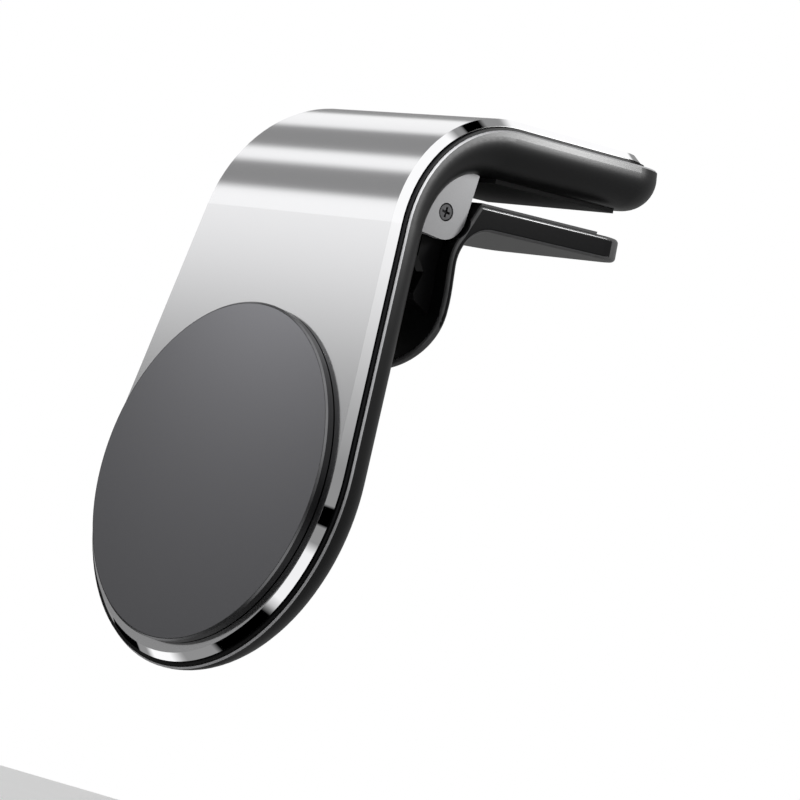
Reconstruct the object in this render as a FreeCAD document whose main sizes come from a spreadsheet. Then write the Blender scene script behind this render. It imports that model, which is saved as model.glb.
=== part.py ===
import FreeCAD, Part
import math
import os
import Sketcher

# Magnetic car phone mount that clamps on the louvre of an air vent.
# Millimetres.  X is the width, -Y faces the phone, +Y faces the vent, +Z is up along the plate.
# The origin is the centre of the magnet pad's front face.

Vector = FreeCAD.Vector
doc = FreeCAD.newDocument("vent_mount")

# ---------------------------------------------------------------- driving dimensions
DIMENSIONS = [
    ("face", 1.0, "front face of the metal plate, behind the pad's front"),
    ("end_radius", 20.0, "round lower end of the plate"),
    ("side_taper", 7.5, "degrees, each side leans inwards going up"),
    ("bend_radius", 16.0, "outside radius of the bend"),
    ("bend_height", 28.5, "where the bend starts"),
    ("arm_rise", 9.5, "degrees, the arm climbs towards the vent"),
    ("plate_reach", 20.8, "straight length of the metal on the arm"),
    ("housing_reach", 23.7, "straight length of the housing on the arm"),
    ("plate", 0.8, "metal thickness"),
    ("bevel", 0.74, "polished bevel round the metal"),
    ("tip_corner", 4.5, "corner radius of the arm's tip"),
    ("housing_corner", 6.0, "corner radius of the housing's tip"),
    ("tape", 0.1, "adhesive film"),
    ("tape_inset", 1.4, "film edge inside the plate's edge"),
    ("frame_front", 0.9, "depth where the inner frame starts"),
    ("frame_back", 1.15, "depth where the inner frame ends"),
    ("frame_out", 0.4, "inner frame beyond the plate's edge"),
    ("housing_out", 0.65, "housing beyond the plate's edge"),
    ("leg_depth", 4.95, "plate and housing together, on the leg"),
    ("arm_depth", 6.0, "plate and housing together, on the arm"),
    ("inner_radius", 10.0, "inside radius of the bend"),
    ("back_round", 3.6, "rounding of the housing's back edges"),
    ("lip", 0.18, "small bevel on the housing's front edge"),
    ("pad_radius", 18.25, "magnet pad"),
    ("pad_rim", 0.18, "bright bevel of the magnet pad"),
    ("skin_radius", 18.0, "soft skin on the pad"),
    ("skin", 0.35, "soft skin thickness"),
    ("magnet_radius", 5.0, "disc magnet"),
    ("magnet_ring", 10.3, "centres of the six magnets"),
    ("magnet_front", 0.95, "depth of the magnets' front"),
    ("magnet_back", 3.3, "depth of the magnets' back"),
    ("tray_radius", 15.9, "tray and keeper plate"),
    ("keeper_back", 4.05, "depth of the keeper plate's back"),
    ("cavity_radius", 16.2, "round pocket in the housing"),
    ("magnet_edge", 0.2, "small bevel of a magnet"),
    ("slack", 0.05, "clearance of loose fits"),
    ("fit", 0.02, "clearance of close fits"),
    ("hollow_start", 1.0, "hollow in the arm, from the bend"),
    ("hollow_length", 16.0, "hollow in the arm, its far end and its width"),
    ("hollow_floor", 1.6, "plastic left under the hollow"),
    ("screw_across", 9.0, "frame screws, from the middle"),
    ("screw_height", 21.5, "frame screws, height"),
    ("screw_radius", 0.8, "frame screw thread"),
    ("screw_head", 1.5, "frame screw head radius"),
    ("screw_end", 4.2, "depth of the frame screws' tips"),
    ("head_seat", 1.7, "depth of the seats under the frame screws' heads"),
    ("head_rim", 0.25, "upright rim of a frame screw's head"),
    ("head_depth", 0.75, "height of a countersunk head"),
    ("socket", 0.6, "radius of the recess in a frame screw's head"),
    ("socket_depth", 0.3, "depth of that recess"),
    ("screw_point", 0.5, "length of a frame screw's point"),
    ("pin_back", 9.4, "hinge pin, behind the face"),
    ("pin_height", 32.7, "hinge pin, height"),
    ("pin_radius", 0.95, "hinge pin"),
    ("pin_bore", 1.0, "hole round the hinge pin"),
    ("pin_inset", 0.03, "pin's ends inside the ears' faces"),
    ("pin_bevel", 0.16, "bevel on the pin's ends"),
    ("cross_reach", 0.55, "cross slot in the pin, from the middle to an end"),
    ("cross_half", 0.13, "cross slot, half its width"),
    ("cross_floor", 0.35, "cross slot's floor inside the ear's face"),
    ("ear_out", 12.0, "outer face of the bracket's ears"),
    ("ear", 1.0, "ear thickness"),
    ("web", 0.5, "bracket web thickness"),
    ("web_inset", 0.1, "web's edges inside the ears' faces"),
    ("web_start", 14.0, "degrees past the arm where the web starts"),
    ("ear_start", 10.5, "degrees past the arm where an ear leaves the bend"),
    ("bend_foot", 82.0, "degrees round the inside bend where the bracket ends"),
    ("ear_lobe", 2.85, "round end of an ear"),
    ("rib_out", 10.6, "outer face of the lever's ribs"),
    ("rib_in", 9.4, "inner face of the lever's ribs"),
    ("knuckle", 2.0, "lever rib round the pin"),
    ("ear_room", 3.1, "relief in the lever round the ears"),
    ("lever_half", 12.8, "half width of the lever"),
    ("neck_radius", 4.0, "outside radius of the lever's neck"),
    ("neck_across", 16.3, "centre of the neck, behind the face"),
    ("neck_height", 28.7, "centre of the neck, height"),
    ("neck_turn", 12.0, "degrees the neck turns past upright"),
    ("flare", 2.4, "straight run below the neck"),
    ("paddle_radius", 16.0, "bow of the paddle"),
    ("paddle", 1.0, "paddle thickness"),
    ("paddle_foot", 15.6, "lowest point of the paddle"),
    ("paddle_corner", 7.2, "corner radius of the paddle"),
    ("paddle_turn", 36.0, "degrees that the paddle's bow turns through, past the neck"),
    ("lever_round", 0.45, "rounding of the lever's edges"),
    ("shoulder", 13.1, "end of the lever's shoulder, behind the face"),
    ("shoulder_turn", 62.0, "degrees round the neck where the shoulder starts"),
    ("jaw_top", 35.5, "top of the lower jaw where it leaves the neck"),
    ("jaw", 2.5, "lower jaw thickness"),
    ("jaw_start", 16.87, "where the lower jaw's height is given, behind the face"),
    ("jaw_tip", 35.8, "end of the lower jaw, behind the face"),
    ("jaw_slant", 0.4, "slant of the lower jaw's end"),
    ("jaw_corner", 4.5, "corner radius of the lower jaw's tip"),
    ("jaw_pad_half", 10.4, "half width of the rubber jaw pads"),
    ("jaw_pad", 0.45, "how far a rubber pad stands proud"),
    ("jaw_pad_seat", 0.4, "how deep a rubber pad is let in"),
    ("jaw_room", 2.0, "height cut clear over a rubber pad's seat"),
    ("upper_pad_near", 1.5, "upper rubber pad, from the bend"),
    ("upper_pad_far", 19.0, "upper rubber pad, its far end"),
    ("lower_pad_near", 15.0, "lower rubber pad, behind the face"),
    ("lower_pad_far", 31.8, "lower rubber pad, its far end"),
    ("corner_screw_across", 5.0, "bracket screws, from the middle"),
    ("corner_screw_lean", 45.0, "degrees, bracket screws from upright"),
    ("corner_screw_head", 1.3, "bracket screw head radius"),
    ("corner_screw_radius", 0.7, "bracket screw thread"),
    ("corner_screw_grip", 2.6, "bracket screw length in the housing"),
    ("sleeve", 1.3, "spring sleeve outer radius"),
    ("spring_coil", 1.58, "torsion spring, coil centre radius"),
    ("spring_wire", 0.22, "torsion spring wire radius"),
    ("spring_gap", 0.06, "gap between the spring's turns"),
    ("spring_turns", 8.5, "turns of the spring"),
    ("housing_leg", 6.0, "spring leg that lies on the housing"),
    ("paddle_leg", 5.0, "spring leg that lies on the paddle"),
    ("paddle_slope", 0.42, "how much that leg leans for each unit down"),
]

sheet = doc.addObject("Spreadsheet::Sheet", "dims")
for row, (alias, value, meaning) in enumerate(DIMENSIONS, start=1):
    sheet.set(f"A{row}", meaning)
    sheet.set(f"B{row}", str(value))
    sheet.setAlias(f"B{row}", alias)
doc.recompute()


class Size:
    """A length or an angle: its number now, and the sheet expression that drives it."""

    def __init__(self, value, text):
        self.value = float(value)
        self.text = text

    @staticmethod
    def of(item):
        return item if isinstance(item, Size) else Size(item, repr(float(item)))

    def __add__(self, other):
        other = Size.of(other)
        return Size(self.value + other.value, f"({self.text} + {other.text})")

    def __sub__(self, other):
        other = Size.of(other)
        return Size(self.value - other.value, f"({self.text} - {other.text})")

    def __mul__(self, other):
        other = Size.of(other)
        return Size(self.value * other.value, f"({self.text} * {other.text})")

    def __truediv__(self, other):
        other = Size.of(other)
        return Size(self.value / other.value, f"({self.text} / {other.text})")

    def __neg__(self):
        return Size(-self.value, f"(-1 * {self.text})")


def sine(angle):
    return Size(math.sin(math.radians(angle.value)), f"sin({angle.text})")


def cosine(angle):
    return Size(math.cos(math.radians(angle.value)), f"cos({angle.text})")


def tangent(angle):
    return Size(math.tan(math.radians(angle.value)), f"tan({angle.text})")


D = {alias: Size(value, f"dims.{alias}") for alias, value, meaning in DIMENSIONS}
ZERO = Size.of(0)
WIDE = Size.of(60)         # wider than any piece, for stock that is trimmed afterwards
THROUGH = WIDE * 4         # a cut right through everything
SPARE = Size.of(5)         # stock or cut that reaches past an outline
NEAR = 0.5                 # an edge this close to a place counts as being there
OFF_CENTRE = 5.0           # an edge this far from the middle belongs to a side


# ---------------------------------------------------------------- drawing helpers
def new_body(label):
    body = doc.addObject("PartDesign::Body", label)
    body.Label = label
    return body


def new_sketch(body, name, role, shift=None):
    """A sketch on one of the body's own origin planes, shifted along the plane's normal."""
    sketch = body.newObject("Sketcher::SketchObject", name)
    support = [item for item in body.Origin.OriginFeatures if item.Role == role][0]
    sketch.AttachmentSupport = [(support, "")]
    sketch.MapMode = "FlatFace"
    if shift is not None:
        sketch.setExpression("AttachmentOffset.Base.z", shift.text)
    return sketch


def pin_point(sketch, shape, end, across, up):
    """Hold one point of the sketch by two driven distances from the origin."""
    for axis, size in (("DistanceX", across), ("DistanceY", up)):
        index = sketch.addConstraint(Sketcher.Constraint(axis, -1, 1, shape, end, size.value))
        sketch.setExpression(f"Constraints[{index}]", size.text)


def drive_radius(sketch, shape, radius):
    index = sketch.addConstraint(Sketcher.Constraint("Radius", shape, radius.value))
    sketch.setExpression(f"Constraints[{index}]", radius.text)


def circle(sketch, across, up, radius):
    centre = Vector(across.value, up.value, 0)
    shape = sketch.addGeometry(Part.Circle(centre, Vector(0, 0, 1), radius.value), False)
    pin_point(sketch, shape, 3, across, up)
    drive_radius(sketch, shape, radius)


def arc_centre(start, end, radius, left):
    """Centre of the arc from start to end; left puts it on the left of the chord."""
    chord = end - start
    half = chord.Length / 2
    rise = math.sqrt(max(radius * radius - half * half, 0))
    side = Vector(-chord.y, chord.x, 0).normalize()
    return start + chord * 0.5 + side * (rise if left else -rise)


def outline(sketch, corners):
    """Closed outline.  A corner is (across, up), or (across, up, radius, left) when the edge
    that leaves it is an arc under half a circle whose centre is on the left or right."""
    points = [Vector(corner[0].value, corner[1].value, 0) for corner in corners]
    ends = []
    for number, corner in enumerate(corners):
        start = points[number]
        end = points[(number + 1) % len(points)]
        if len(corner) == 2:
            shape = sketch.addGeometry(Part.LineSegment(start, end), False)
            ends.append((shape, 1, 2))
            continue
        radius, left = corner[2], corner[3]
        centre = arc_centre(start, end, radius.value, left)
        full = Part.Circle(centre, Vector(0, 0, 1), radius.value)
        first, last = (start, end) if left else (end, start)
        angle_first = math.atan2(first.y - centre.y, first.x - centre.x)
        angle_last = math.atan2(last.y - centre.y, last.x - centre.x)
        shape = sketch.addGeometry(Part.ArcOfCircle(full, angle_first, angle_last), False)
        drive_radius(sketch, shape, radius)
        ends.append((shape, 1, 2) if left else (shape, 2, 1))
    for number, corner in enumerate(corners):
        shape, first, last = ends[number]
        before, before_first, before_last = ends[number - 1]
        sketch.addConstraint(Sketcher.Constraint("Coincident", before, before_last, shape, first))
        pin_point(sketch, shape, first, corner[0], corner[1])


def pad(body, sketch, name, length, symmetric=False):
    feature = body.newObject("PartDesign::Pad", name)
    feature.Profile = sketch
    feature.SideType = "Symmetric" if symmetric else "One side"
    feature.setExpression("Length", length.text)
    doc.recompute()
    return feature


def pocket(body, sketch, name, length, symmetric=False, backwards=False):
    """Cut, and make sure that material really went."""
    before = body.Shape.Volume
    feature = body.newObject("PartDesign::Pocket", name)
    feature.Profile = sketch
    feature.SideType = "Symmetric" if symmetric else "One side"
    feature.Reversed = backwards
    feature.setExpression("Length", length.text)
    doc.recompute()
    if not body.Shape.Volume < before - 1e-6:
        raise RuntimeError(f"{body.Label}: {name} cuts nothing")
    return feature


def revolve(body, sketch, name):
    """Turn a section about its sketch's horizontal axis."""
    feature = body.newObject("PartDesign::Revolution", name)
    feature.Profile = sketch
    feature.ReferenceAxis = (sketch, ["H_Axis"])
    feature.Angle = 360
    doc.recompute()
    return feature


def mirror(body, name, features):
    """Repeat features on the other side of the middle."""
    feature = body.newObject("PartDesign::Mirrored", name)
    feature.Originals = features
    middle = [item for item in body.Origin.OriginFeatures if item.Role == "YZ_Plane"][0]
    feature.MirrorPlane = (middle, [""])
    body.Tip = feature
    doc.recompute()
    return feature


def turn_axis(sketch, first, last):
    """Construction line for a section to turn about."""
    start, end = [Vector(point[0].value, point[1].value, 0) for point in (first, last)]
    axis = sketch.addGeometry(Part.LineSegment(start, end), True)
    pin_point(sketch, axis, 1, *first)
    pin_point(sketch, axis, 2, *last)


def turn_profile(body, sketch, kind, name):
    """Revolution or Groove about the sketch's own construction line."""
    feature = body.newObject(f"PartDesign::{kind}", name)
    feature.Profile = sketch
    feature.ReferenceAxis = (sketch, ["Axis0"])
    feature.Angle = 360
    doc.recompute()
    return feature


def pick_edges(shape, wanted):
    return [f"Edge{number}" for number, edge in enumerate(shape.Edges, start=1) if wanted(edge)]


def samples(edge):
    first, last = edge.ParameterRange
    return [edge.valueAt(first + (last - first) * part) for part in (0.02, 0.3, 0.5, 0.7, 0.98)]


def runs_along(edge, direction, least=0.999):
    ends = samples(edge)
    chord = ends[-1] - ends[0]
    return chord.Length > 1e-6 and abs(chord.normalize().dot(direction)) > least


def is_ring(edge):
    return edge.Closed


def round_edges(body, name, wanted, radius):
    source = body.Tip
    feature = body.newObject("PartDesign::Fillet", name)
    feature.Base = (source, pick_edges(source.Shape, wanted))
    feature.setExpression("Radius", radius.text)
    doc.recompute()
    return feature


def bevel_edges(body, name, wanted, size):
    source = body.Tip
    feature = body.newObject("PartDesign::Chamfer", name)
    feature.Base = (source, pick_edges(source.Shape, wanted))
    feature.setExpression("Size", size.text)
    doc.recompute()
    return feature


# ---------------------------------------------------------------- the bent strip
# Depth is measured from the metal face into the mount, square to the face everywhere.
ARM = (cosine(D["arm_rise"]), sine(D["arm_rise"]))
BEND = (D["face"] + D["bend_radius"], D["bend_height"])


def on_arm(depth, along):
    """Point at a depth below the arm's outer face, and a distance past the end of the bend."""
    reach = D["bend_radius"] - depth
    across = BEND[0] - reach * ARM[1] + along * ARM[0]
    up = BEND[1] + reach * ARM[0] + along * ARM[1]
    return across, up


def inner_bend():
    """Centre of the inside radius, which touches the leg's back and the arm's underside."""
    shift = D["leg_depth"] + D["inner_radius"] - D["bend_radius"]
    spare = D["bend_radius"] - D["arm_depth"] - D["inner_radius"]
    up = D["bend_height"] + (spare + shift * ARM[1]) / ARM[0]
    return D["face"] + D["leg_depth"] + D["inner_radius"], up


def strip_profile(body, front, back, reach, low):
    """Side view of a layer of the bent strip between two depths."""
    sketch = new_sketch(body, "side_profile", "YZ_Plane")
    front_radius = D["bend_radius"] - front
    back_radius = D["bend_radius"] - back
    front_bend = on_arm(front, ZERO)
    back_bend = on_arm(back, ZERO)
    front_tip = on_arm(front, reach)
    back_tip = on_arm(back, reach)
    outline(sketch, [
        (D["face"] + front, low),
        (D["face"] + front, BEND[1], front_radius, False),
        front_bend,
        front_tip,
        back_tip,
        (back_bend[0], back_bend[1], back_radius, True),
        (D["face"] + back, BEND[1]),
        (D["face"] + back, low),
    ])
    return sketch


def front_outline(body, inset):
    """Front view: round lower end and sides that lean inwards.  The ring outside it is cut."""
    sketch = new_sketch(body, "front_outline", "XZ_Plane")
    radius = D["end_radius"] - inset
    top = WIDE
    side = radius / cosine(D["side_taper"])
    tangent_across = radius * cosine(D["side_taper"])
    tangent_up = radius * sine(D["side_taper"])
    top_across = side - top * tangent(D["side_taper"])
    outline(sketch, [
        (-top_across, top),
        (-tangent_across, tangent_up, radius, True),
        (ZERO, -radius, radius, True),
        (tangent_across, tangent_up),
        (top_across, top),
    ])
    outline(sketch, [(-WIDE, -WIDE), (WIDE, -WIDE), (WIDE, top + SPARE), (-WIDE, top + SPARE)])
    return sketch


def depth_of(point):
    """Depth below the metal face of any point on the strip."""
    across = point.y - BEND[0].value
    up = point.z - BEND[1].value
    if up < 0:
        return point.y - D["face"].value
    over_arm = -across * ARM[1].value + up * ARM[0].value
    along_arm = across * ARM[0].value + up * ARM[1].value
    if along_arm > 0:
        return D["bend_radius"].value - over_arm
    return D["bend_radius"].value - math.hypot(across, up)


def along_arm(point):
    across = point.y - BEND[0].value
    up = point.z - BEND[1].value
    return across * ARM[0].value + up * ARM[1].value


X_WAY = Vector(1, 0, 0)
SQUARE_TO_ARM = Vector(0, -ARM[1].value, ARM[0].value)


def tip_corner(reach):
    """Test for the two corner edges at the end of a strip."""
    def wanted(edge):
        middle = samples(edge)[2]
        at_tip = along_arm(middle) > reach.value - NEAR
        return runs_along(edge, SQUARE_TO_ARM, 0.97) and abs(middle.x) > OFF_CENTRE and at_tip
    return wanted


def border(low, high, reach):
    """Test for the border edges whose depth lies between two limits all the way."""
    def wanted(edge):
        spots = samples(edge)
        inside = all(low < depth_of(spot) < high for spot in spots)
        across = runs_along(edge, X_WAY) and along_arm(spots[2]) < reach.value - NEAR
        return inside and not (across and spots[2].z > 0)
    return wanted


def strip_layer(label, front, back, reach, inset, corner):
    """A layer of the strip with its front outline and rounded tip."""
    body = new_body(label)
    low = -D["end_radius"] - SPARE
    pad(body, strip_profile(body, front, back, reach, low), "strip", WIDE, symmetric=True)
    pocket(body, front_outline(body, inset), "trim", THROUGH, symmetric=True)
    if corner is not None:
        round_edges(body, "tip_corners", tip_corner(reach), corner)
    return body


def half_width(out, up):
    """Half the strip's width at a height, its edge standing out from the plate's."""
    return (D["end_radius"] + out) / cosine(D["side_taper"]) - up * tangent(D["side_taper"])


def cut_tip_corners(body, depth, reach, out, corner):
    """Round the tip's two corners of a layer too thin for a fillet, seen from above."""
    sketch = new_sketch(body, "tip_outline", "XY_Plane")
    start = on_arm(depth, reach - corner)
    end = on_arm(depth, reach)
    side = half_width(out, start[1])
    flat = half_width(out, end[1]) - corner
    beyond = end[0] + SPARE
    outline(sketch, [
        (side, start[0], corner, True),
        (flat, end[0]),
        (flat, beyond),
        (side + SPARE, beyond),
        (side + SPARE, start[0]),
    ])
    outline(sketch, [
        (-side, start[0], corner, False),
        (-flat, end[0]),
        (-flat, beyond),
        (-side - SPARE, beyond),
        (-side - SPARE, start[0]),
    ])
    pocket(body, sketch, "tip_corners", THROUGH, symmetric=True)


def circle_cut(body, name, across, up, radius, length):
    """Round hole straight in from the front."""
    sketch = new_sketch(body, f"{name}_circle", "XZ_Plane")
    circle(sketch, across, up, radius)
    return pocket(body, sketch, name, length)


# ---------------------------------------------------------------- plate, film and frame
def make_face_plate():
    body = strip_layer("face_plate", ZERO, D["plate"], D["plate_reach"], ZERO, D["tip_corner"])
    bevel_edges(body, "bevel", border(-0.01, 0.01, D["plate_reach"]), D["bevel"])
    return body


def make_plate_tape():
    inset = D["tape_inset"]
    return strip_layer("plate_tape", D["plate"], D["frame_front"], D["plate_reach"] - inset,
                       inset, None)


def magnet_places():
    """Centres of the six magnets, as (across, up) sizes."""
    for number in range(6):
        angle = Size.of(30 + 60 * number)
        yield D["magnet_ring"] * cosine(angle), D["magnet_ring"] * sine(angle)


def make_inner_frame():
    out = D["frame_out"]
    reach = D["plate_reach"] + out
    body = strip_layer("inner_frame", D["frame_front"], D["frame_back"], reach, -out, None)
    cut_tip_corners(body, D["frame_front"], reach, out, D["tip_corner"] + out)
    through_frame = D["face"] + D["leg_depth"]
    sketch = new_sketch(body, "magnet_holes", "XZ_Plane")
    for across, up in magnet_places():
        circle(sketch, across, up, D["magnet_radius"] + D["slack"])
    pocket(body, sketch, "magnet_windows", through_frame)
    sketch = new_sketch(body, "screw_holes", "XZ_Plane")
    for across in (D["screw_across"], -D["screw_across"]):
        circle(sketch, across, D["screw_height"], D["screw_head"] + D["slack"])
    pocket(body, sketch, "screw_seats", through_frame)
    return body


# ---------------------------------------------------------------- rear housing
def make_rear_housing():
    body = new_body("rear_housing")
    sketch = new_sketch(body, "side_profile", "YZ_Plane")
    front, back = D["frame_back"], D["arm_depth"]
    low = -D["end_radius"] - SPARE
    bend = inner_bend()
    radius = D["inner_radius"]
    front_bend = on_arm(front, ZERO)
    front_tip = on_arm(front, D["housing_reach"])
    back_tip = on_arm(back, D["housing_reach"])
    outline(sketch, [
        (D["face"] + front, low),
        (D["face"] + front, BEND[1], D["bend_radius"] - front, False),
        front_bend,
        front_tip,
        back_tip,
        (bend[0] - radius * ARM[1], bend[1] + radius * ARM[0], radius, True),
        (D["face"] + D["leg_depth"], bend[1]),
        (D["face"] + D["leg_depth"], low),
    ])
    pad(body, sketch, "strip", WIDE, symmetric=True)
    pocket(body, front_outline(body, -D["housing_out"]), "trim", THROUGH, symmetric=True)
    round_edges(body, "tip_corners", tip_corner(D["housing_reach"]), D["housing_corner"])
    back_edge = border(D["leg_depth"].value - NEAR, D["bend_radius"].value, D["housing_reach"])
    round_edges(body, "back_rounding", back_edge, D["back_round"])
    front_depth = D["frame_back"].value
    close = D["fit"].value
    front_edge = border(front_depth - close, front_depth + close, D["housing_reach"])
    bevel_edges(body, "front_lip", front_edge, D["lip"])
    circle_cut(body, "magnet_pocket", ZERO, ZERO, D["cavity_radius"],
               D["face"] + D["keeper_back"] + D["slack"])
    sketch = new_sketch(body, "pilot_holes", "XZ_Plane")
    for across in (D["screw_across"], -D["screw_across"]):
        circle(sketch, across, D["screw_height"], D["screw_radius"])
    pocket(body, sketch, "screw_pilots", D["face"] + D["screw_end"])
    sketch = new_sketch(body, "head_holes", "XZ_Plane")
    for across in (D["screw_across"], -D["screw_across"]):
        circle(sketch, across, D["screw_height"], D["screw_head"] + D["slack"])
    pocket(body, sketch, "head_seats", D["face"] + D["head_seat"])
    sketch = new_sketch(body, "arm_hollow_profile", "YZ_Plane")
    floor = D["arm_depth"] - D["hollow_floor"]
    outline(sketch, [
        on_arm(front - D["slack"], D["hollow_start"]),
        on_arm(front - D["slack"], D["hollow_length"]),
        on_arm(floor, D["hollow_length"]),
        on_arm(floor, D["hollow_start"]),
    ])
    pocket(body, sketch, "arm_hollow", D["hollow_length"], symmetric=True)
    corner_screw_holes(body)
    seat = D["arm_depth"] - D["jaw_pad_seat"]
    sketch = new_sketch(body, "pad_seat_profile", "YZ_Plane")
    outline(sketch, [
        on_arm(seat, UPPER_PAD[0]),
        on_arm(seat, UPPER_PAD[1]),
        on_arm(seat + D["jaw_room"], UPPER_PAD[1]),
        on_arm(seat + D["jaw_room"], UPPER_PAD[0]),
    ])
    pocket(body, sketch, "pad_seat", D["jaw_pad_half"] * 2, symmetric=True)
    return body


# ---------------------------------------------------------------- magnet pad and magnets
def disc(label, outer, front, back, hole_places=(), hole=None):
    """Round flat piece square to Y, with optional round holes."""
    body = new_body(label)
    sketch = new_sketch(body, "disc_circle", "XZ_Plane", shift=-back)
    circle(sketch, ZERO, ZERO, outer)
    pad(body, sketch, "disc", back - front)
    if hole is not None:
        sketch = new_sketch(body, "hole_circles", "XZ_Plane")
        for across, up in hole_places:
            circle(sketch, across, up, hole)
        pocket(body, sketch, "holes", WIDE, symmetric=True)
    return body


def make_pad_plate():
    """Disc with a bright bevel and a shallow seat for the soft skin."""
    body = new_body("magnet_pad_plate")
    sketch = new_sketch(body, "section", "YZ_Plane")
    back = D["face"] - D["tape"]
    outer, seat = D["pad_radius"], D["skin_radius"] + D["slack"] / 2
    outline(sketch, [
        (D["skin"], ZERO),
        (D["skin"], seat),
        (ZERO, seat),
        (ZERO, outer - D["pad_rim"]),
        (D["pad_rim"], outer),
        (back, outer),
        (back, ZERO),
    ])
    revolve(body, sketch, "disc")
    return body


def make_magnets():
    magnets = []
    for number, (across, up) in enumerate(magnet_places(), start=1):
        body = new_body(f"magnet_{number}")
        sketch = new_sketch(body, "disc_circle", "XZ_Plane", shift=-(D["face"] + D["magnet_back"]))
        circle(sketch, across, up, D["magnet_radius"])
        pad(body, sketch, "disc", D["magnet_back"] - D["magnet_front"])
        bevel_edges(body, "edges", is_ring, D["magnet_edge"])
        magnets.append(body)
    return magnets


def make_frame_screws():
    """Two countersunk screws that hold the frame to the housing."""
    body = new_body("frame_screws")
    body.AllowCompound = True
    sketch = new_sketch(body, "section", "XY_Plane", shift=D["screw_height"])
    across = D["screw_across"]
    head = D["face"] + D["frame_front"] + D["slack"]
    tip = D["face"] + D["screw_end"] - D["slack"]
    radius = D["screw_radius"] - D["fit"]
    outline(sketch, [
        (across, head + D["socket_depth"]),
        (across + D["socket"], head + D["socket_depth"]),
        (across + D["socket"], head),
        (across + D["screw_head"], head),
        (across + D["screw_head"], head + D["head_rim"]),
        (across + radius, head + D["head_depth"]),
        (across + radius, tip - D["screw_point"]),
        (across, tip),
    ])
    turn_axis(sketch, (across, ZERO), (across, SPARE))
    screw = turn_profile(body, sketch, "Revolution", "screw")
    mirror(body, "pair", [screw])
    return body


# ---------------------------------------------------------------- hinge
PIN = (D["face"] + D["pin_back"], D["pin_height"])
INNER = inner_bend()


def on_inner_bend(radius, angle):
    """Point round the inside bend, the angle counted down from the arm's end of it."""
    return INNER[0] - radius * sine(angle), INNER[1] + radius * cosine(angle)


def make_hinge_bracket():
    """U-shaped bracket: a curved web seated in the bend and two ears that hold the pin."""
    body = new_body("hinge_bracket")
    sketch = new_sketch(body, "ear_profile", "YZ_Plane", shift=D["ear_out"] - D["ear"])
    edge = PIN[0] + D["ear_lobe"]
    radius = D["inner_radius"]
    top_angle = D["arm_rise"] + D["ear_start"]
    top = on_inner_bend(radius, top_angle)
    foot_angle = D["bend_foot"]
    foot = on_inner_bend(radius, foot_angle)
    outline(sketch, [
        (edge, top[1]),
        (top[0], top[1], radius, True),
        foot,
        (PIN[0], PIN[1] - D["ear_lobe"], D["ear_lobe"], True),
        (edge, PIN[1]),
    ])
    ear = pad(body, sketch, "ear", D["ear"])
    sketch = new_sketch(body, "web_profile", "YZ_Plane")
    thin = radius - D["web"]
    web_top = D["arm_rise"] + D["web_start"]
    high_out, high_in = on_inner_bend(radius, web_top), on_inner_bend(thin, web_top)
    low_out, low_in = on_inner_bend(radius, foot_angle), on_inner_bend(thin, foot_angle)
    outline(sketch, [
        (high_out[0], high_out[1], radius, True),
        low_out,
        (low_in[0], low_in[1], thin, False),
        high_in,
    ])
    mirror(body, "second_ear", [ear])
    pad(body, sketch, "web", (D["ear_out"] - D["web_inset"]) * 2, symmetric=True)
    sketch = new_sketch(body, "pin_hole", "YZ_Plane")
    circle(sketch, PIN[0], PIN[1], D["pin_radius"] + D["fit"])
    pocket(body, sketch, "pin_holes", WIDE, symmetric=True)
    corner_screw_holes(body)
    return body


def make_hinge_pin():
    """Steel pin with a cross slot in the end that shows."""
    body = new_body("hinge_pin")
    sketch = new_sketch(body, "pin_circle", "YZ_Plane")
    circle(sketch, PIN[0], PIN[1], D["pin_radius"])
    pad(body, sketch, "shaft", (D["ear_out"] - D["pin_inset"]) * 2, symmetric=True)
    bevel_edges(body, "end_bevels", is_ring, D["pin_bevel"])
    arm, half = D["cross_reach"], D["cross_half"]
    sketch = new_sketch(body, "cross", "YZ_Plane", shift=D["ear_out"] - D["cross_floor"])
    across, up = PIN
    outline(sketch, [
        (across - half, up - arm),
        (across + half, up - arm),
        (across + half, up - half),
        (across + arm, up - half),
        (across + arm, up + half),
        (across + half, up + half),
        (across + half, up + arm),
        (across - half, up + arm),
        (across - half, up + half),
        (across - arm, up + half),
        (across - arm, up - half),
        (across - half, up - half),
    ])
    pocket(body, sketch, "cross_slot", SPARE, backwards=True)
    return body


def tube(label, inner, outer, start, length):
    """Ring round the hinge pin."""
    body = new_body(label)
    sketch = new_sketch(body, "rings", "YZ_Plane", shift=start)
    circle(sketch, PIN[0], PIN[1], outer)
    circle(sketch, PIN[0], PIN[1], inner)
    pad(body, sketch, "ring", length)
    return body


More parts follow.
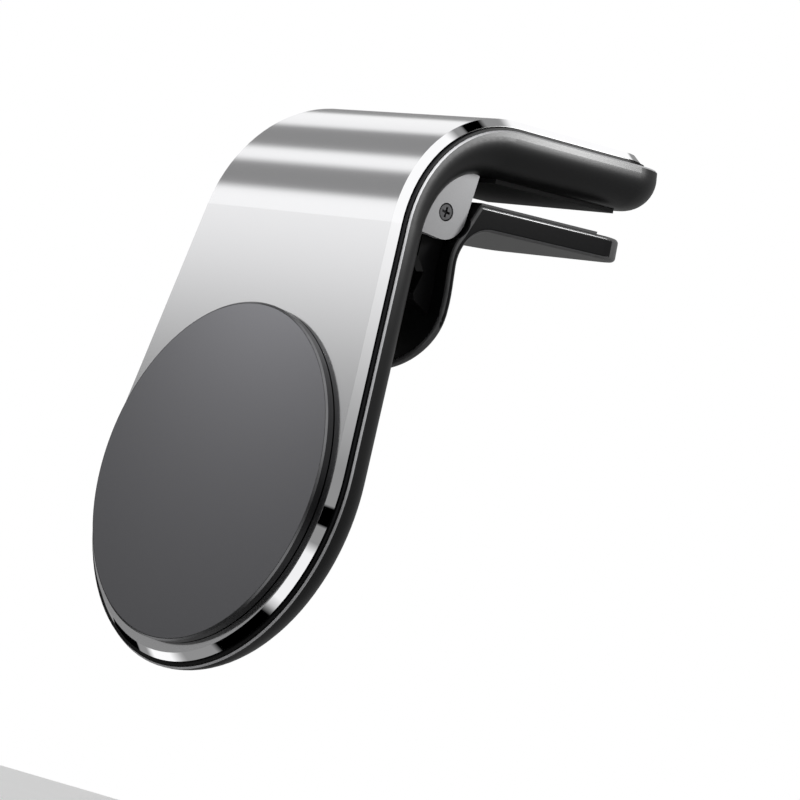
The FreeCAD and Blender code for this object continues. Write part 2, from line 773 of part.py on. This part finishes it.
def make_torsion_spring():
    """Close coil round the sleeve, with one leg for the housing and one for the paddle."""
    wire = D["spring_wire"].value
    radius = D["spring_coil"].value
    pitch = 2 * wire + D["spring_gap"].value
    width = pitch * D["spring_turns"].value
    helix = Part.makeHelix(pitch, width, radius)
    helix.rotate(Vector(0, 0, 0), Vector(0, 1, 0), 90)
    helix.rotate(Vector(0, 0, 0), Vector(1, 0, 0), 90)
    helix.translate(Vector(-width / 2, PIN[0].value, PIN[1].value))
    start = helix.Vertexes[0].Point
    end = helix.Vertexes[-1].Point
    section = Part.Wire([Part.makeCircle(wire, start, Vector(0, 0, 1))])
    coil = Part.Wire(helix.Edges).makePipeShell([section], True, True)
    pieces = []
    legs = (
        (start, D["housing_leg"].value, 0.0),
        (end, D["paddle_leg"].value, -D["paddle_slope"].value),
    )
    for point, length, lean in legs:
        way = Vector(0, lean, -1).normalize()
        pieces.append(Part.makeCylinder(wire, length, point, way))
        pieces.append(Part.makeSphere(wire, point))
        pieces.append(Part.makeSphere(wire, point + way * length))
    feature = doc.addObject("Part::Feature", "torsion_spring")
    feature.Label = "torsion_spring"
    feature.Shape = coil.multiFuse(pieces)
    feature.Placement = FreeCAD.Placement()
    return feature


def corner_screw_sketch(body, name, grow):
    """Half section of a countersunk screw that points outwards through the inside bend."""
    sketch = new_sketch(body, name, "YZ_Plane", shift=D["corner_screw_across"])
    lean = D["corner_screw_lean"]

    def spot(along, out):
        across = INNER[0] - along * sine(lean) + out * cosine(lean)
        return across, INNER[1] + along * cosine(lean) + out * sine(lean)

    head = D["inner_radius"] - D["web"] + D["fit"]
    neck = head + D["head_depth"]
    tip = D["inner_radius"] + D["corner_screw_grip"]
    outline(sketch, [
        spot(head, ZERO),
        spot(head, D["corner_screw_head"] + grow),
        spot(neck, D["corner_screw_radius"] + grow),
        spot(tip, D["corner_screw_radius"] + grow),
        spot(tip, ZERO),
    ])
    turn_axis(sketch, spot(ZERO, ZERO), spot(SPARE, ZERO))
    return sketch


def corner_screw_holes(body):
    before = body.Shape.Volume
    sketch = corner_screw_sketch(body, "corner_screw_hole", D["slack"])
    hole = turn_profile(body, sketch, "Groove", "corner_screw_seat")
    mirror(body, "corner_screw_seats", [hole])
    if not body.Shape.Volume < before - 0.1:
        raise RuntimeError(f"{body.Label}: the corner screws have no holes")


def make_bracket_screws():
    """Two short screws through the web into the thick corner of the housing."""
    body = new_body("bracket_screws")
    body.AllowCompound = True
    sketch = corner_screw_sketch(body, "section", ZERO)
    screw = turn_profile(body, sketch, "Revolution", "screw")
    mirror(body, "pair", [screw])
    return body


# ---------------------------------------------------------------- clamp lever
NECK = (D["face"] + D["neck_across"], D["neck_height"])
JAW_START = D["face"] + D["jaw_start"]
UPPER_PAD = (D["upper_pad_near"], D["upper_pad_far"])
LOWER_PAD = (D["face"] + D["lower_pad_near"], D["face"] + D["lower_pad_far"])

# The part of a rib below its round end: distance behind the face, and height.
RIB_OUTLINE = [
    (11.9, 30.2),
    (11.7, 28.6),
    (12.2, 25.5),
    (12.5, 22.2),
    (10.0, 23.1),
    (9.6, 23.8),
    (10.1, 26.25),
    (8.7, 27.6),
    (8.5, 29.4),
]


def neck_point(radius, angle):
    """Point round the neck, the angle counted down from the jaw's end of it."""
    return NECK[0] - radius * sine(angle), NECK[1] + radius * cosine(angle)


def jaw_line(depth, across):
    """Point under the lower jaw's top face, at a distance behind the mount's face."""
    slope = tangent(D["arm_rise"])
    up = D["jaw_top"] + (across - JAW_START) * slope - depth / ARM[0]
    return across, up


def paddle_points(offset):
    """End of the neck, end of the flare and end of the bow, inwards by an offset."""
    turn = D["neck_turn"]
    radius = D["neck_radius"] + offset
    below = (NECK[0] - radius * cosine(turn), NECK[1] - radius * sine(turn))
    flared = (below[0] + D["flare"] * sine(turn), below[1] - D["flare"] * cosine(turn))
    bow = D["paddle_radius"] - offset
    bow_turn = D["paddle_turn"] - turn
    centre = (flared[0] - bow * cosine(turn), flared[1] - bow * sine(turn))
    foot = (centre[0] + bow * cosine(bow_turn), centre[1] - bow * sine(bow_turn))
    return below, flared, foot


def make_clamp_lever():
    body = new_body("clamp_lever")
    sketch = new_sketch(body, "side_profile", "YZ_Plane")
    thick = D["paddle"]
    outer, inner = D["neck_radius"], D["neck_radius"] + thick
    out_neck, out_flare, out_foot = paddle_points(ZERO)
    in_neck, in_flare, in_foot = paddle_points(thick)
    bow_out, bow_in = D["paddle_radius"], D["paddle_radius"] - thick
    shoulder = jaw_line(ZERO, D["face"] + D["shoulder"])
    tip_top = jaw_line(ZERO, D["face"] + D["jaw_tip"] - D["jaw_slant"])
    tip_low = jaw_line(D["jaw"], D["face"] + D["jaw_tip"])
    jaw_end = neck_point(outer, D["arm_rise"])
    shoulder_foot = neck_point(inner, D["shoulder_turn"])
    outline(sketch, [
        shoulder,
        (shoulder_foot[0], shoulder_foot[1], inner, True),
        in_neck,
        (in_flare[0], in_flare[1], bow_in, False),
        in_foot,
        (out_foot[0], out_foot[1], bow_out, True),
        out_flare,
        (out_neck[0], out_neck[1], outer, False),
        jaw_end,
        tip_low,
        tip_top,
    ])
    pad(body, sketch, "bent_plate", D["lever_half"] * 2, symmetric=True)
    sketch = new_sketch(body, "paddle_outline", "XZ_Plane")
    half, corner = D["lever_half"], D["paddle_corner"]
    low = D["paddle_foot"]
    flat = half - corner
    side = low + corner
    below = low - WIDE
    outline(sketch, [
        (-half, side, corner, True),
        (-flat, low),
        (flat, low, corner, True),
        (half, side),
        (half + SPARE, side),
        (half + SPARE, below),
        (-half - SPARE, below),
        (-half - SPARE, side),
    ])
    pocket(body, sketch, "paddle_corners", THROUGH, symmetric=True)
    tip = D["face"].value + D["jaw_tip"].value

    def tip_edges(edge):
        middle = samples(edge)[2]
        at_tip = middle.y > tip - 3 * NEAR and abs(middle.x) > OFF_CENTRE
        return at_tip and runs_along(edge, SQUARE_TO_ARM, 0.95)

    round_edges(body, "tip_corners", tip_edges, D["jaw_corner"])

    def outside(edge):
        spots = samples(edge)
        at_foot = spots[2].z < low.value + 1.2
        at_tip = spots[2].y > tip - 2 * NEAR
        inside = abs(spots[0].x) < half.value - D["fit"].value
        same_side = abs(spots[0].x - spots[-1].x) < D["fit"].value
        seam = edge.Length < 3 and inside and same_side
        return (not runs_along(edge, X_WAY) or at_foot or at_tip) and not seam

    round_edges(body, "soft_edges", outside, D["lever_round"])
    sketch = new_sketch(body, "rib_profile", "YZ_Plane", shift=D["rib_in"])
    ring = D["knuckle"]
    round_end = [
        (PIN[0] - ring, PIN[1], ring, False),
        (PIN[0], PIN[1] + ring, ring, False),
        (PIN[0] + ring, PIN[1]),
    ]
    below_pin = [(D["face"] + across, Size.of(up)) for across, up in RIB_OUTLINE]
    outline(sketch, round_end + below_pin)
    rib = pad(body, sketch, "rib", D["rib_out"] - D["rib_in"])
    mirror(body, "ribs", [rib])
    sketch = new_sketch(body, "ear_relief", "YZ_Plane", shift=D["rib_out"])
    circle(sketch, PIN[0], PIN[1], D["ear_room"])
    relief = pocket(body, sketch, "relief", WIDE, backwards=True)
    mirror(body, "reliefs", [relief])
    sketch = new_sketch(body, "bore", "YZ_Plane")
    circle(sketch, PIN[0], PIN[1], D["pin_bore"])
    pocket(body, sketch, "pin_bore", WIDE, symmetric=True)
    seat = D["jaw_pad_seat"]
    sketch = new_sketch(body, "pad_seat_profile", "YZ_Plane")
    outline(sketch, [
        jaw_line(-D["jaw_room"], LOWER_PAD[0]),
        jaw_line(seat, LOWER_PAD[0]),
        jaw_line(seat, LOWER_PAD[1]),
        jaw_line(-D["jaw_room"], LOWER_PAD[1]),
    ])
    pocket(body, sketch, "pad_seat", D["jaw_pad_half"] * 2, symmetric=True)
    return body


def jaw_rubber(label, corners):
    """Rubber pad from a side profile."""
    body = new_body(label)
    sketch = new_sketch(body, "side_profile", "YZ_Plane")
    outline(sketch, corners)
    width = D["jaw_pad_half"] * 2 - D["slack"]
    pad(body, sketch, "rubber", width, symmetric=True)
    return body


def make_upper_jaw_pad():
    seat = D["arm_depth"] - D["jaw_pad_seat"]
    proud = D["arm_depth"] + D["jaw_pad"]
    near, far = UPPER_PAD[0] + D["fit"], UPPER_PAD[1] - D["fit"]
    return jaw_rubber("upper_jaw_pad", [
        on_arm(seat, near), on_arm(seat, far), on_arm(proud, far), on_arm(proud, near)])


def make_lower_jaw_pad():
    near, far = LOWER_PAD[0] + D["fit"], LOWER_PAD[1] - D["fit"]
    seat = D["jaw_pad_seat"]
    proud = -D["jaw_pad"]
    return jaw_rubber("lower_jaw_pad", [
        jaw_line(proud, near), jaw_line(seat, near), jaw_line(seat, far), jaw_line(proud, far)])


# ---------------------------------------------------------------- build, check and write
def build_all():
    back_of_skin = D["skin"]
    film_front = D["face"] - D["tape"]
    tray_front = D["face"] + D["frame_back"] + D["slack"]
    magnet_back = D["face"] + D["magnet_back"]
    keeper_back = D["face"] + D["keeper_back"]
    places = list(magnet_places())
    gap = D["slack"]
    washer_start = D["rib_out"] + gap
    washer_length = D["ear_out"] - D["ear"] - gap - washer_start
    parts = [
        disc("magnet_pad_skin", D["skin_radius"], ZERO, back_of_skin),
        make_pad_plate(),
        disc("magnet_pad_tape", D["pad_radius"] - D["tape_inset"], film_front, D["face"]),
        make_face_plate(),
        make_plate_tape(),
        make_inner_frame(),
        make_rear_housing(),
        disc("magnet_tray", D["tray_radius"], tray_front, magnet_back, places,
             D["magnet_radius"] + gap),
        disc("keeper_plate", D["tray_radius"], magnet_back, keeper_back),
        make_frame_screws(),
        make_hinge_bracket(),
        make_bracket_screws(),
        make_hinge_pin(),
        tube("spring_sleeve", D["pin_bore"], D["sleeve"], -(D["rib_in"] - gap),
             (D["rib_in"] - gap) * 2),
        make_torsion_spring(),
        tube("washer_near", D["pin_bore"], D["knuckle"], washer_start, washer_length),
        tube("washer_far", D["pin_bore"], D["knuckle"], -(washer_start + washer_length),
             washer_length),
        make_clamp_lever(),
        make_upper_jaw_pad(),
        make_lower_jaw_pad(),
    ]
    return parts + make_magnets()


PARTS = build_all()
doc.recompute()
for item in doc.Objects:
    if "Invalid" in item.State or "Error" in item.State:
        raise RuntimeError(f"{item.Label} failed: {item.State}")
os.makedirs("parts", exist_ok=True)
for piece in PARTS:
    shape = piece.Shape
    if shape.isNull() or not shape.isValid():
        raise RuntimeError(f"{piece.Label}: no valid shape")
    shape.exportStep(f"parts/{piece.Label}.step")
    print(piece.Label, len(shape.Solids), round(shape.Volume, 1), shape.BoundBox)
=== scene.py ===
import math

import bpy
from mathutils import Euler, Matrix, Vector


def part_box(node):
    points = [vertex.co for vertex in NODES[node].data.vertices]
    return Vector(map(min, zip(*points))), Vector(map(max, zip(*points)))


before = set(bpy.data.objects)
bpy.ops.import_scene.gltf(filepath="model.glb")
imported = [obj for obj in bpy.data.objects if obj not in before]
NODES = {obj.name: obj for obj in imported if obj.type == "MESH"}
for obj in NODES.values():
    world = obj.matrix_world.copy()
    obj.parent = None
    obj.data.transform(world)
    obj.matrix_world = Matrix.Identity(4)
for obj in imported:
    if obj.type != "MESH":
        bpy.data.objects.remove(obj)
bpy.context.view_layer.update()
MM = 0.001

# Sizes of the bent strip, in metres, as the CAD has them.
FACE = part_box("face_plate")[0][1]
BEND_RADIUS = 16.0 * MM
BEND_HEIGHT = 28.5 * MM
ARM_RISE = math.radians(9.5)

# Depths below the metal face that tell the plate's and the housing's faces apart.
FLUSH = 0.02 * MM
BEVEL_DEPTH = 0.70 * MM
LIP_FRONT = 1.2 * MM
LIP_BACK = 1.36 * MM
PAD_RIM_BACK = 0.19 * MM


# ---------------------------------------------------------------- camera
CAMERA_PLACE = Vector((262.5, -195.0, -25.3)) * MM
CAMERA_TURN = (97.0, -17.5, 48.3)
SENSOR = 36.0
LENS = 143.0
NEAREST, FURTHEST = 0.01, 20.0


def make_camera():
    data = bpy.data.cameras.new("camera")
    data.sensor_width = SENSOR
    data.lens = LENS
    data.clip_start = NEAREST
    data.clip_end = FURTHEST
    camera = bpy.data.objects.new("camera", data)
    bpy.context.scene.collection.objects.link(camera)
    camera.location = CAMERA_PLACE
    camera.rotation_euler = Euler([math.radians(turn) for turn in CAMERA_TURN], "XYZ")
    bpy.context.scene.camera = camera


# ---------------------------------------------------------------- node helpers
class Shader:
    """A small builder for one material's node tree."""

    def __init__(self, name):
        self.material = bpy.data.materials.new(name)
        self.material.use_nodes = True
        self.tree = self.material.node_tree
        self.main = self.tree.nodes["Principled BSDF"]

    def add(self, kind):
        return self.tree.nodes.new(kind)

    def link(self, source, target):
        self.tree.links.new(source, target)

    def set(self, **values):
        """Numbers on the shader's own sockets, an underscore standing for a space."""
        for key, value in values.items():
            self.main.inputs[key.replace("_", " ")].default_value = value

    def noise(self, scale, detail=3.0, roughness=0.5):
        node = self.add("ShaderNodeTexNoise")
        node.inputs["Scale"].default_value = scale
        node.inputs["Detail"].default_value = detail
        node.inputs["Roughness"].default_value = roughness
        place = self.add("ShaderNodeTexCoord").outputs["Object"]
        self.link(place, node.inputs["Vector"])
        return node.outputs["Fac"]

    def spread(self, value, low, high):
        """Stretch a value that runs from 0 to 1 over another range."""
        node = self.add("ShaderNodeMapRange")
        node.inputs["To Min"].default_value = low
        node.inputs["To Max"].default_value = high
        self.link(value, node.inputs["Value"])
        return node.outputs["Result"]

    def bump(self, height, strength, distance):
        node = self.add("ShaderNodeBump")
        node.inputs["Strength"].default_value = strength
        node.inputs["Distance"].default_value = distance
        self.link(height, node.inputs["Height"])
        self.link(node.outputs["Normal"], self.main.inputs["Normal"])

    def tint(self, value, dark, light):
        """Base colour between two colours."""
        node = self.add("ShaderNodeMix")
        node.data_type = "RGBA"
        colours = [item for item in node.inputs if item.type == "RGBA"]
        colours[0].default_value = (*dark, 1.0)
        colours[1].default_value = (*light, 1.0)
        self.link(value, node.inputs["Factor"])
        output = [item for item in node.outputs if item.type == "RGBA"][0]
        self.link(output, self.main.inputs["Base Color"])


def satin_metal():
    s = Shader("satin_metal")
    s.set(Metallic=1.0)
    grain = s.noise(9000.0, 2.0)
    s.tint(grain, (0.74, 0.74, 0.75), (0.80, 0.80, 0.81))
    s.link(s.spread(grain, 0.11, 0.16), s.main.inputs["Roughness"])
    s.bump(grain, 0.03, 0.00001)
    return s.material


def polished_metal():
    s = Shader("polished_metal")
    s.set(Metallic=1.0)
    grain = s.noise(300.0, 2.0)
    s.tint(grain, (0.86, 0.86, 0.87), (0.90, 0.90, 0.91))
    s.link(s.spread(grain, 0.01, 0.03), s.main.inputs["Roughness"])
    return s.material


def lever_black():
    s = Shader("lever_black")
    grain = s.noise(7000.0, 3.0, 0.6)
    s.tint(grain, (0.002, 0.002, 0.0022), (0.004, 0.004, 0.0043))
    s.set(Specular_IOR_Level=0.12)
    s.link(s.spread(grain, 0.28, 0.36), s.main.inputs["Roughness"])
    s.bump(grain, 0.1, 0.00001)
    return s.material


# Near-black for the metal face plate's edge and back: painted shade.
def gloss_black():
    s = Shader("gloss_black")
    grain = s.noise(400.0, 2.0)
    s.tint(grain, (0.001, 0.001, 0.0012), (0.003, 0.003, 0.0033))
    s.set(Specular_IOR_Level=0.3)
    s.link(s.spread(grain, 0.10, 0.16), s.main.inputs["Roughness"])
    return s.material


def satin_black():
    s = Shader("satin_black")
    grain = s.noise(7000.0, 3.0, 0.6)
    s.tint(grain, (0.002, 0.002, 0.0022), (0.005, 0.005, 0.0053))
    s.set(Specular_IOR_Level=0.3)
    s.link(s.spread(grain, 0.30, 0.38), s.main.inputs["Roughness"])
    s.bump(grain, 0.15, 0.00002)
    return s.material


def soft_skin():
    s = Shader("soft_skin")
    grain = s.noise(12000.0, 3.0, 0.6)
    s.tint(grain, (0.034, 0.034, 0.036), (0.046, 0.046, 0.049))
    s.set(Specular_IOR_Level=0.2)
    s.link(s.spread(grain, 0.55, 0.70), s.main.inputs["Roughness"])
    s.bump(grain, 0.2, 0.00002)
    return s.material


def grey_metal():
    s = Shader("grey_metal")
    s.set(Metallic=0.3)
    grain = s.noise(6000.0, 2.0)
    s.tint(grain, (0.25, 0.25, 0.255), (0.29, 0.29, 0.295))
    s.link(s.spread(grain, 0.40, 0.5), s.main.inputs["Roughness"])
    s.bump(grain, 0.08, 0.00001)
    return s.material


def dark_rim():
    s = Shader("dark_rim")
    s.set(Metallic=1.0)
    grain = s.noise(500.0, 2.0)
    s.tint(grain, (0.14, 0.14, 0.145), (0.20, 0.20, 0.205))
    s.link(s.spread(grain, 0.22, 0.30), s.main.inputs["Roughness"])
    return s.material


def plain(name, dark, light, rough, metallic=0.0, scale=4000.0, specular=0.5):
    """A grained material for the smaller pieces."""
    s = Shader(name)
    s.set(Metallic=metallic, Specular_IOR_Level=specular)
    grain = s.noise(scale, 3.0)
    s.tint(grain, dark, light)
    s.link(s.spread(grain, rough * 0.85, rough * 1.15), s.main.inputs["Roughness"])
    s.bump(grain, 0.1, 0.00001)
    return s.material


# ---------------------------------------------------------------- materials on nodes
def depth_of(point):
    """Depth below the metal face, square to it everywhere."""
    across = point.y - FACE - BEND_RADIUS
    up = point.z - BEND_HEIGHT
    if up < 0:
        return point.y - FACE
    over = -across * math.sin(ARM_RISE) + up * math.cos(ARM_RISE)
    along = across * math.cos(ARM_RISE) + up * math.sin(ARM_RISE)
    if along > 0:
        return BEND_RADIUS - over
    return BEND_RADIUS - math.hypot(across, up)


def dress(name, *materials, choose=None):
    """Give a node its materials; choose picks a slot for each polygon."""
    mesh = NODES[name].data
    mesh.materials.clear()
    for material in materials:
        mesh.materials.append(material)
    for polygon in mesh.polygons:
        polygon.material_index = choose(mesh, polygon) if choose else 0


def depths_of(mesh, polygon):
    return [depth_of(mesh.vertices[index].co) for index in polygon.vertices]


def plate_slot(mesh, polygon):
    """The flat face is slot 0, the bevel slot 1, and the edge and back slot 2, which is
    near-black as painted shade on the metal.
    """
    depths = depths_of(mesh, polygon)
    if max(depths) < FLUSH:
        return 0
    return 1 if min(depths) < BEVEL_DEPTH else 2


def housing_slot(mesh, polygon):
    """The small bevel round the housing's front edge is slot 1, coloured light grey as a painted
    highlight.
    """
    depths = depths_of(mesh, polygon)
    return 1 if min(depths) < LIP_FRONT and LIP_FRONT < max(depths) < LIP_BACK else 0


def lever_slot(mesh, polygon):
    """Faces that lean to a side are slot 1, coloured lighter as a painted highlight: the rounded
    edges, and the tip's corners too.
    """
    return 1 if 0.2 < abs(polygon.normal.x) < 0.97 else 0


def pad_plate_slot(mesh, polygon):
    """The bevel round the magnet pad's disc is slot 1."""
    return 1 if polygon.center.y < PAD_RIM_BACK and abs(polygon.normal.y) < 0.95 else 0


def dress_all():
    silver, mirror, plate_edge_shade_paint = satin_metal(), polished_metal(), gloss_black()
    black, skin, grey = satin_black(), soft_skin(), grey_metal()
    film = plain("film", (0.6, 0.6, 0.58), (0.7, 0.7, 0.66), 0.5)
    anodised = plain("black_metal", (0.012, 0.012, 0.013), (0.02, 0.02, 0.021), 0.3, 0.6)
    zinc = plain("zinc_steel", (0.5, 0.5, 0.5), (0.62, 0.62, 0.6), 0.35, 1.0, 900.0)
    screw = plain("dark_screw", (0.06, 0.06, 0.062), (0.10, 0.10, 0.102), 0.4, 0.9)
    nylon = plain("white_nylon", (0.78, 0.78, 0.74), (0.84, 0.84, 0.8), 0.45)
    wire = plain("spring_steel", (0.42, 0.42, 0.42), (0.5, 0.5, 0.5), 0.28, 1.0)
    rubber = plain("jaw_rubber", (0.014, 0.014, 0.0145), (0.022, 0.022, 0.0225), 0.6)
    nickel = plain("magnet_nickel", (0.62, 0.62, 0.6), (0.7, 0.7, 0.68), 0.2, 1.0, 600.0)
    dress("face_plate", silver, mirror, plate_edge_shade_paint, choose=plate_slot)
    dress("magnet_pad_skin", skin)
    dress("magnet_pad_plate", anodised, dark_rim(), choose=pad_plate_slot)
    for name in ("magnet_pad_tape", "plate_tape"):
        dress(name, film)
    seam = plain("seam_black", (0.001, 0.001, 0.0012), (0.003, 0.003, 0.0033), 0.45, specular=0.1)
    dress("inner_frame", seam)
    # Light grey on the black housing's lip bevel: a painted highlight.
    lip_painted_highlight = plain("lip_highlight_paint", (0.20, 0.20, 0.205), (0.27, 0.27, 0.275), 0.45, 0.2, 1500.0)
    # Lighter grey on the black lever's rounded edges: a painted highlight.
    lever_painted_highlight = plain("lever_edge_highlight_paint", (0.05, 0.05, 0.051), (0.09, 0.09, 0.091), 0.3, 0.5, 1500.0)
    dress("rear_housing", black, lip_painted_highlight, choose=housing_slot)
    dress("magnet_tray", black)
    dress("clamp_lever", lever_black(), lever_painted_highlight, choose=lever_slot)
    dress("keeper_plate", zinc)
    for name in ("frame_screws", "bracket_screws", "hinge_pin"):
        dress(name, screw)
    dress("hinge_bracket", grey)
    for name in ("spring_sleeve", "washer_near", "washer_far"):
        dress(name, nylon)
    dress("torsion_spring", wire)
    for name in ("upper_jaw_pad", "lower_jaw_pad"):
        dress(name, rubber)
    for number in range(1, 7):
        dress(f"magnet_{number}", nickel)


# ---------------------------------------------------------------- studio
# Soft boxes and black cards stand round the object in two arcs, one on its left and one on
# its right.  Each row is a card: where it starts and ends, in degrees counted up from straight
# ahead of the metal face, and its brightness.  Between the cards is the studio's own grey.
LEFT_CARDS = [
    (-150, -105, 0.0),
    (-90, -80, 1.1),
    (15, 30, 1.2),
    (60, 70, 1.2),
    (105, 130, 1.1),
]
RIGHT_CARDS = [
    (-65, -50, 0.0),
    (-45, -25, 1.0),
    (-10, 0, 0.0),
    (25, 85, 1.1),
    (95, 105, 0.0),
    (120, 130, 1.1),
]
STUDIO_GREY = 0.3
SOFT_EDGE = 5.0             # degrees over which a soft box fades
CARD_EDGE = 1.0             # degrees over which a black card fades
BRIGHTEST = 1.3
LEFT_END, RIGHT_END = -0.55, -0.40      # sideways, where one arc passes into the other


def card_ramp(tree, angle, cards):
    """Brightness round one arc of cards, from the angle scaled to 0 to 1."""
    rows = []
    for first, last, level in cards:
        edge = SOFT_EDGE if level > 0 else CARD_EDGE
        rows += [(first - edge, STUDIO_GREY), (first, level), (last, level),
                 (last + edge, STUDIO_GREY)]
    ramp = tree.nodes.new("ShaderNodeValToRGB")
    stops = ramp.color_ramp.elements
    while len(stops) < len(rows):
        stops.new(0.5)
    for stop, (turn, level) in zip(stops, rows):
        stop.position = (turn + 180) / 360
        stop.color = (level / BRIGHTEST,) * 3 + (1.0,)
    tree.links.new(angle, ramp.inputs["Fac"])
    return ramp.outputs["Color"]


def math_node(tree, operation):
    node = tree.nodes.new("ShaderNodeMath")
    node.operation = operation
    return node


def range_node(tree, source, low, high):
    """Scale a value between two limits to 0 to 1."""
    node = tree.nodes.new("ShaderNodeMapRange")
    node.inputs["From Min"].default_value = low
    node.inputs["From Max"].default_value = high
    tree.links.new(source, node.inputs["Value"])
    return node.outputs["Result"]


def card_light(tree):
    """Colour of the studio in a direction, from the two arcs of cards."""
    place = tree.nodes.new("ShaderNodeTexCoord")
    split = tree.nodes.new("ShaderNodeSeparateXYZ")
    tree.links.new(place.outputs["Generated"], split.inputs["Vector"])
    ahead = math_node(tree, "MULTIPLY")
    ahead.inputs[1].default_value = -1.0
    tree.links.new(split.outputs["Y"], ahead.inputs[0])
    turn = math_node(tree, "ARCTAN2")
    tree.links.new(split.outputs["Z"], turn.inputs[0])
    tree.links.new(ahead.outputs["Value"], turn.inputs[1])
    angle = range_node(tree, turn.outputs["Value"], -math.pi, math.pi)
    mix = tree.nodes.new("ShaderNodeMix")
    mix.data_type = "RGBA"
    side = range_node(tree, split.outputs["X"], LEFT_END, RIGHT_END)
    tree.links.new(side, mix.inputs["Factor"])
    colours = [item for item in mix.inputs if item.type == "RGBA"]
    tree.links.new(card_ramp(tree, angle, LEFT_CARDS), colours[0])
    tree.links.new(card_ramp(tree, angle, RIGHT_CARDS), colours[1])
    return [item for item in mix.outputs if item.type == "RGBA"][0]


def make_world():
    """The cards light the object, and the camera sees plain white in their place."""
    world = bpy.data.worlds.new("studio")
    world.use_nodes = True
    bpy.context.scene.world = world
    bpy.context.scene.view_settings.view_transform = "Standard"
    tree = world.node_tree
    lights = tree.nodes["Background"]
    lights.inputs["Strength"].default_value = BRIGHTEST
    tree.links.new(card_light(tree), lights.inputs["Color"])
    white = tree.nodes.new("ShaderNodeBackground")
    white.inputs["Color"].default_value = (1, 1, 1, 1)
    path = tree.nodes.new("ShaderNodeLightPath")
    choice = tree.nodes.new("ShaderNodeMixShader")
    tree.links.new(path.outputs["Is Camera Ray"], choice.inputs["Fac"])
    tree.links.new(lights.outputs["Background"], choice.inputs[1])
    tree.links.new(white.outputs["Background"], choice.inputs[2])
    tree.links.new(choice.outputs["Shader"], tree.nodes["World Output"].inputs["Surface"])


def soft_box(name, place, target, size, power, glossy=True):
    """Round lamp at a place, turned to a target, all in millimetres."""
    data = bpy.data.lights.new(name, "AREA")
    data.shape = "DISK"
    data.size = size * MM
    data.energy = power
    lamp = bpy.data.objects.new(name, data)
    lamp.location = Vector(place) * MM
    way = Vector(target) * MM - lamp.location
    lamp.rotation_euler = way.to_track_quat("-Z", "Y").to_euler()
    lamp.visible_camera = False
    lamp.visible_glossy = glossy
    bpy.context.scene.collection.objects.link(lamp)


def make_lights():
    soft_box("pad_light", (4, -24, 50), (0, 0, 8), 16, 0.13, glossy=False)
    soft_box("arm_light", (48, 54, 66), (14, 30, 42), 16, 0.034)


def make_floor():
    """Pale floor below the object, which reflections don't show."""
    half = 1.1
    height = -0.075
    corners = [(-half, -half), (half, -half), (half, half), (-half, half)]
    mesh = bpy.data.meshes.new("floor")
    mesh.from_pydata([(*corner, height) for corner in corners], [], [(0, 1, 2, 3)])
    floor = bpy.data.objects.new("floor", mesh)
    bpy.context.scene.collection.objects.link(floor)
    s = Shader("floor_paint")
    grain = s.noise(20.0, 3.0)
    s.tint(grain, (0.90, 0.90, 0.90), (0.93, 0.93, 0.93))
    s.set(Roughness=0.8)
    mesh.materials.append(s.material)
    floor.visible_glossy = False


make_camera()
make_world()
make_lights()
make_floor()
dress_all()
